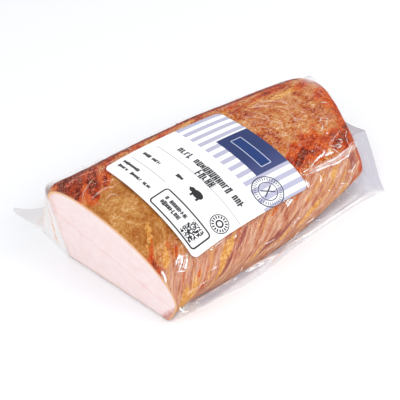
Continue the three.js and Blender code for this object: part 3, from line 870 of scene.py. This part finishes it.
def buildEdge():
    # a thin band from inside the joint out to the outline: straight lines across it, with ripples
    # that grow towards the outer edge, a raised fold along the front and a pressed seal at the end
    curve = outlineCurve()
    reach = pouch["reach"]
    innerY = holdNear(curve[:, 1], reach["front"], reach["back"])
    innerX = holdNear(curve[:, 0], reach["near"], lengthAt(innerY) - reach["far"])
    inner = np.stack([innerX, innerY, curve[:, 3] + reach["lift"]], -1)
    outer = curve[:, :3] + [0, 0, 0.1]
    w = np.linspace(0, 1, pouch["columns"])[None, :, None]
    top = inner[:, None] * (1 - w) + outer[:, None] * w
    x, y = top[..., 0], top[..., 1]
    outerX, outerY = outer[:, :1], outer[:, 1:2]
    fromEdge = np.linalg.norm((outer - inner)[:, None] * (1 - w), axis=-1)
    onTable = ramp(outer[:, 2:], 1.5, 0.2)
    ripple = (layeredNoise(top * [1, 1, 0], 11, 21, 2) - 0.5) * 2 * pouch["ripple"] * w[..., 0]
    atEnd = ramp(outerX, 200, 204) * np.ones_like(fromEdge)
    places = [[fold[0], fold[1], np.array(fold[2:], float).reshape(-1, 2)] for fold in pouch["folds"]]
    fields = foldFields(x, y, places)
    raised = bell(fields["foldSide"], 0, 1.2) * np.clip(fields["foldWidth"] * 2, 0, 1) * (1 - atEnd)
    height = top[..., 2] + np.where(onTable > 0.5, np.abs(ripple) * 0.8, ripple * 0.6)
    lower = top.copy()
    lower[..., 2] = np.maximum(height + pouch["foldHeight"] * raised - pouch["thickness"], 0.0)
    top[..., 2] = lower[..., 2] + pouch["thickness"]
    rings = join([lower, top[:, ::-1]], axis=1)
    faces = gridFaces(*rings.shape[:2], True, True)[:, [0, 3, 2, 1]]
    seal = ramp(fromEdge, pouch["sealWidth"], pouch["sealWidth"] - 1.0)
    nearFace = ramp(outerX, 10, 3) * ramp(outerY, 100, 92)
    nearCorner = ramp(outerX, 44, 24) * ramp(outerY, 108, 118)
    # in front of the joint the film's haze and grey milk are painted shade of the joint on the film and the
    # table, partly the film's own milkiness
    inFront = ramp(x, 14, 30) * ramp(x, 204, 192) * ramp(y, 6, 2)
    inFront = inFront * (0.55 + 0.45 * ramp(y, -7.5, -5))
    haze = 0.02 + (0.5 + seal * 0.15) * atEnd + inFront * 0.55 + nearCorner * 0.85
    fields["haze"] = haze * (1 - nearFace)
    tip = nearCorner * ramp(y, 118, 150) * 0.3
    # grey milk: over the far seal and the web's tip, and in front of the joint, where it is painted shade
    fields["cool"] = np.maximum(np.maximum(atEnd, tip), inFront * 0.9)
    fields = {key: join([field, field[:, ::-1]], axis=1) for key, field in fields.items()}
    material = filmMaterial("film_edge", 0.02, 0.35, 0.4)
    points = rings.reshape(-1, 3)
    meshPiece("film_edge", points, faces, material, None, fields).visible_shadow = False


buildEdge()

# label
label = {
    "near": 31.5,
    "length": 102,
    "top": -5.5,  # measured round the joint from the crown towards the front
    "height": 89.5,
    "lean": 6,
    "corner": 4,
    "gap": 0.3,
    "wave": 0.25,
    "thickness": 0.3,
    "columns": 120,
    "rows": 110,
    "paper": (250, 250, 251),
    "stripe": (188, 187, 209),
    "panel": (50, 62, 108),
    "panelPale": (84, 90, 136),
    "panelInset": (38, 62, 118),
    "panelFrame": (206, 212, 230),
    "ink": (12, 12, 15),
    "greyInk": (84, 86, 104),
    "soft": 0.12,  # half width of a printed edge's blur
    "inset": (82.3, 91, 32.5, 62),
    "stampPlace": (73, 79),
    "sealPlace": (28.8, 81.1),
    "codeCell": 0.72,
    # lines of made-up letters: middle, start, end, height, pitch, seed, half width of a stroke
    "words": [
        [50, 17.6, 79.4, 6.0, 3.1, 2.0, 0.6], [43.8, 42, 58, 6.0, 3.1, 5.0, 0.6],
        [29.6, 6, 22, 3.0, 1.7, 9.0, 0.42], [31.3, 36.4, 42.2, 2.8, 1.6, 13.0, 0.42],
        [14.5, 3.6, 18.5, 2.8, 1.7, 17.0, 0.42], [9.5, 4.3, 34.5, 2.8, 1.7, 21.0, 0.42],
        [12.9, 46.5, 66, 4.0, 2.1, 25.0, 0.46], [8.6, 46.5, 64, 4.0, 2.1, 29.0, 0.46],
    ],
}


def aroundAtArc(along, arc):
    # place on the way round at a distance from the crown, looked up in a table of running lengths
    # for a row of stations, and mixed between the two nearest stations and distances
    stationRow = np.linspace(15, 145, 66)
    distances = np.linspace(-12, 92, 209)
    around = np.linspace(0.03, 0.72, 900)
    s, t = np.meshgrid(stationRow, around, indexing="ij")
    y, z = crossSection(s, t, wrapForm)
    length = arcAlongRows(np.stack([y, z], -1))
    crown = np.argmin(np.abs(around - wrapForm["places"][2]))
    fromCrown = length[:, crown : crown + 1] - length
    table = np.stack([np.interp(distances, f[::-1], around[::-1]) for f in fromCrown])
    i = np.clip((along - stationRow[0]) / (stationRow[1] - stationRow[0]), 0, len(stationRow) - 1.001)
    j = np.clip((arc - distances[0]) / (distances[1] - distances[0]), 0, len(distances) - 1.001)
    i0, j0 = i.astype(int), j.astype(int)
    fi, fj = i - i0, j - j0
    nearer = table[i0, j0] * (1 - fi) + table[i0 + 1, j0] * fi
    further = table[i0, j0 + 1] * (1 - fi) + table[i0 + 1, j0 + 1] * fi
    return nearer * (1 - fj) + further * fj


def labelMaterial():
    # white paper with print worked out from the label's own millimetres: u from the near edge along
    # the joint, v from the top edge down to the front
    material, tree = newMaterial("label_paper")
    uv = addNode(tree, "UVMap", uv_map="skin").outputs["UV"]
    split = addNode(tree, "SeparateXYZ", {0: uv})
    u = Maths(split.outputs[0]) * float(label["length"])
    v = Maths(split.outputs[1]) * float(label["height"])
    soft = label["soft"]

    def box(u0, u1, v0, v1):
        # 1 inside the rectangle, by the least distance to its four sides
        inside = (u - u0).atMost(u * -1.0 + u1).atMost((v - v0).atMost(v * -1.0 + v1))
        return (inside * (0.5 / soft) + 0.5).atLeast(0.0).atMost(1.0)

    def roundFrame(u0, u1, v0, v1, radius, line):
        # a line along a rectangle with round corners, by the distance to it
        du = abs(u - (u0 + u1) / 2) - ((u1 - u0) / 2 - radius)
        dv = abs(v - (v0 + v1) / 2) - ((v1 - v0) / 2 - radius)
        outU, outV = du.atLeast(0.0), dv.atLeast(0.0)
        outside = (outU * outU + outV * outV).step("SQRT")
        distance = outside + du.atLeast(dv).atMost(0.0) - radius
        return abs(distance).ramp(line / 2 + soft / 2, line / 2 - soft / 2)

    def distanceTo(cu, cv, su=1.0, sv=1.0):
        du, dv = (u - cu) * (1 / su), (v - cv) * (1 / sv)
        return (du * du + dv * dv).step("SQRT")

    def near(value, reach, blur):
        # 1 where the value lies less than reach from 0, either way
        return abs(value).ramp(reach + blur, reach - blur)

    def ring(place, radius, line):
        return abs(distanceTo(*place) - radius).ramp(line / 2 + soft, line / 2 - soft / 2)

    def ticks(place, radius, reach, count, width):
        # short bars round a circle
        turn = ((u - place[0]).step("ARCTAN2", v - place[1]) * count).step("FRACT")
        return near(turn - 0.5, width, 0.03) * near(distanceTo(*place) - radius, reach, 0.1)

    def chance(value, seed):
        # a repeatable number from 0 to 1 for each whole number
        return ((value * 12.9898 + seed).step("SINE") * 43758.5453).step("FRACT")

    def most(first, *others):
        for value in others:
            first = first.atLeast(value)
        return first

    def greekedLine(middle, start, end, height, pitch, seed, line):
        # stand-in for a line of words: at each letter's place a stem, by chance a second stem, and a
        # bar at the top, the middle or the foot, some of them tall, and now and then a word gap
        place = (v - start) * (1 / pitch)
        cell = place.step("FLOOR")
        across = (place - cell - 0.5) * pitch
        offset = u - middle
        tall = chance(cell, seed).ramp(0.6, 0.8) * (height * 0.14) + height * 0.36
        inside = (abs(offset) - tall).ramp(soft, -soft)
        second = near(across - pitch * 0.24, line, soft) * chance(cell, seed + 5.3).ramp(0.3, 0.301)
        where = (chance(cell, seed + 3.7) * 3.0).step("FLOOR") - 1.0
        bar = near(offset - where * (height * 0.3), line, soft) * near(across, pitch * 0.36, soft)
        gap = chance(cell, seed + 8.1).ramp(0.07, 0.071)
        letters = most(near(across + pitch * 0.24, line, soft), second, bar)
        return letters * inside * gap * box(middle - height, middle + height, start, end)

    # lavender stripes, navy panel with a pale inner frame
    stripes = (v * (1 / 7.3)).step("FRACT").ramp(0.5, 0.48) * box(62.0, 200, -5, 200)
    panelColour = layered(label["panel"], (v.ramp(46, 70) * 0.6, label["panelPale"]))
    # round stamp: two rings, a circle of small ticks and two crossed bars
    stampPlace, sealPlace, cell = label["stampPlace"], label["sealPlace"], label["codeCell"]
    fromStamp = (u - stampPlace[0]) * 0.5, (v - stampPlace[1]) * 0.866
    cross = most(near(fromStamp[0] + fromStamp[1], 0.5, 0.1), near(fromStamp[0] - fromStamp[1], 0.5, 0.1))
    cross = cross * distanceTo(*stampPlace).ramp(5.4, 5.0)
    rings = ring(stampPlace, 11, 0.8), ring(stampPlace, 6.6, 0.6)
    stamp = most(*rings, ticks(stampPlace, 9.0, 1.05, 5.4, 0.23) * 0.8, cross)
    # dark print: greeked lines, thin rules, a framed code block, a seal, and a plain four-legged
    # animal of body, head, two legs and ear
    cells = {0: (u * (1 / cell)).step("FLOOR"), 1: (v * (1 / cell)).step("FLOOR")}
    cells = addNode(tree, "CombineXYZ", cells).outputs[0]
    white = addNode(tree, "TexWhiteNoise", {"Vector": cells}, noise_dimensions="2D")
    ink = most(
        *[greekedLine(*numbers) for numbers in label["words"]],
        roundFrame(2.5, 18.4, 41.8, 84.4, 2.2, 1.1),
        distanceTo(30.6, 57.0, 2.9, 4.6).ramp(1.04, 0.96),
        distanceTo(30.8, 52.0, 1.9, 2.0).ramp(1.04, 0.96),
        box(26.3, 29.5, 53.6, 55.2),
        box(26.3, 29.5, 59.0, 60.6),
        box(30.3, 31.6, 49.4, 51.4),
        ring(sealPlace, 6.3, 0.6),
        ring(sealPlace, 2.2, 1.1),
        ticks(sealPlace, 4.6, 0.95, 2.546, 0.27),
        Maths(white.outputs["Value"]).ramp(0.4, 0.401) * box(3.6, 16.2, 69.12, 80.64),
    )
    rules = most(box(40.8, 41.2, 6, 88.5), box(20.6, 21.0, 4, 37))
    colour = layered(
        label["paper"],
        (stripes, label["stripe"]),
        (box(74, 200, 27, 66.5), panelColour),
        (box(*label["inset"]), label["panelInset"]),
        (roundFrame(*label["inset"], 0.3, 0.55), label["panelFrame"]),
        (stamp, label["greyInk"]),
        (rules * 0.85, label["greyInk"]),
        (ink * 0.97, label["ink"]),
    )
    coords = addNode(tree, "TexCoord").outputs["Object"]
    normal = bump(noise(coords, 900, 3, 0.6), 0.15, 0.0003)
    inputs = {"Base Color": colour, "Roughness": 0.5, "Specular IOR Level": 0.15, "Normal": normal}
    addSurface(tree, addNode(tree, "BsdfPrincipled", inputs))
    return material


def buildLabel():
    # a sheet over the skin: its rows run along the joint and get shorter at the round corners; the
    # lower sheet lies under the upper one, and a rim joins their edges
    height, corner = label["height"], label["corner"]
    down = np.linspace(0, height, label["rows"])
    down = np.sort(join([down, [corner * 0.06, height - corner * 0.06]]))
    inside = corner - np.minimum(np.minimum(down, height - down), corner)
    inset = corner - np.sqrt(corner**2 - inside**2)
    share = np.linspace(0, 1, label["columns"])
    u = inset[:, None] + (label["length"] - 2 * inset)[:, None] * share
    v = np.repeat(down[:, None], label["columns"], 1)
    x = label["near"] - label["lean"] * v / height + u
    base = skinPoint(x, aroundAtArc(x, label["top"] + v), wrapForm, film["rim"])
    normals = gridNormals(base)
    wave = (layeredNoise(base, 22, 31, 2) - 0.5) * label["wave"]
    lower = base + normals * (label["gap"] + wave)[..., None]
    upper = lower + normals * label["thickness"]
    points = join([lower.reshape(-1, 3), upper.reshape(-1, 3)])
    quads = gridFaces(*u.shape)
    index = np.arange(u.size).reshape(u.shape)
    border = join([index[0, :-1], index[:-1, -1], index[-1, :0:-1], index[:0:-1, 0]])
    after = np.roll(border, -1)
    rim = np.stack([border + u.size, after + u.size, after, border], -1)
    faces = join([quads, quads[:, ::-1] + u.size, rim])
    uv = np.stack([u / label["length"], v / height], -1).reshape(-1, 2)
    piece = meshPiece("paper_label", points, faces, labelMaterial(), join([uv, uv]))
    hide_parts("label")


buildLabel()

# table, light and camera
studio = {
    "tableSize": 4.0,
    "table": (251, 252, 254),
    "world": 0.79,
    "sky": (0.972, 0.984, 1.0, 1.0),
    # place, what it faces, width, height, watts
    "softboxes": {
        "key": [(-0.95, -0.30, 0.55), (0, 0, 0.02), 0.4, 0.4, 2.4],
        "front_fill": [(0.25, -1.0, 0.75), (0, -0.05, 0.02), 0.7, 0.5, 3.0],
        "shoulder_strip": [(0.38, -0.42, 0.70), (0.0, -0.06, 0.04), 0.34, 0.025, 0.6],
        "back_strip": [(0.30, 0.75, 0.60), (0, 0, 0.05), 0.4, 0.03, 0.3],
        "spark_a": [(0.55, -0.24, 0.76), (0.05, -0.05, 0.03), 0.045, 0.045, 0.3],
        "spark_b": [(0.20, -0.62, 0.70), (0.0, -0.05, 0.03), 0.045, 0.045, 0.3],
        "spark_c": [(-0.35, -0.10, 0.95), (0.0, 0.0, 0.04), 0.045, 0.045, 0.3],
    },
    "cameraPlace": (-0.4517, -0.4141, 0.4243),
    "cameraAxes": [(0.68962, -0.72417, 0), (0.41743, 0.39752, 0.81714), (-0.59175, -0.56352, 0.57643)],
    "lens": 95.0,
    "sensor": 36.0,
}


def buildTable():
    half = studio["tableSize"] / 2
    mesh = bpy.data.meshes.new("table")
    corners = [(-half, -half, 0), (half, -half, 0), (half, half, 0), (-half, half, 0)]
    mesh.from_pydata(corners, [], [(0, 1, 2, 3)])
    material, tree = newMaterial("table_white")
    addSurface(tree, addNode(tree, "BsdfDiffuse", {"Color": linear(studio["table"])}))
    mesh.materials.append(material)
    table = bpy.data.objects.new("table", mesh)
    scene.collection.objects.link(table)
    table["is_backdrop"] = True


def place(name, data, right, up, back, at):
    # an object with its own axes, which looks away from back
    item = bpy.data.objects.new(name, data)
    item.matrix_world = Matrix(np.array([right, up, back, at]).T.tolist() + [[0, 0, 0, 1]])
    scene.collection.objects.link(item)
    return item


def addSoftbox(name, at, target, width, height, power):
    # an area light that faces target
    light = bpy.data.lights.new(name, "AREA")
    light.shape = "RECTANGLE"
    light.size, light.size_y, light.energy = width, height, power
    back = np.array(at, float) - target
    back /= np.linalg.norm(back)
    right = np.cross([0, 0, 1.0], back)
    right /= np.linalg.norm(right)
    place(name, light, right, np.cross(back, right), back, at)


def buildStudio():
    buildTable()
    scene.world = bpy.data.worlds.new("studio")
    scene.world.use_nodes = True
    sky = scene.world.node_tree.nodes["Background"].inputs
    sky["Color"].default_value, sky["Strength"].default_value = studio["sky"], studio["world"]
    for name, numbers in studio["softboxes"].items():
        addSoftbox(name, *numbers)
    camera = bpy.data.cameras.new("camera")
    camera.lens, camera.sensor_width, camera.sensor_fit = studio["lens"], studio["sensor"], "HORIZONTAL"
    scene.camera = place("camera", camera, *studio["cameraAxes"], studio["cameraPlace"])
    scene.view_settings.view_transform = "Standard"
    print("studio and camera")


buildStudio()

newLow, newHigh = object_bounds()
for name, low, high in (("box", newLow, newHigh), ("CAD box", cadLow, cadHigh)):
    print(name, [round(b - a, 4) for a, b in zip(low, high)])
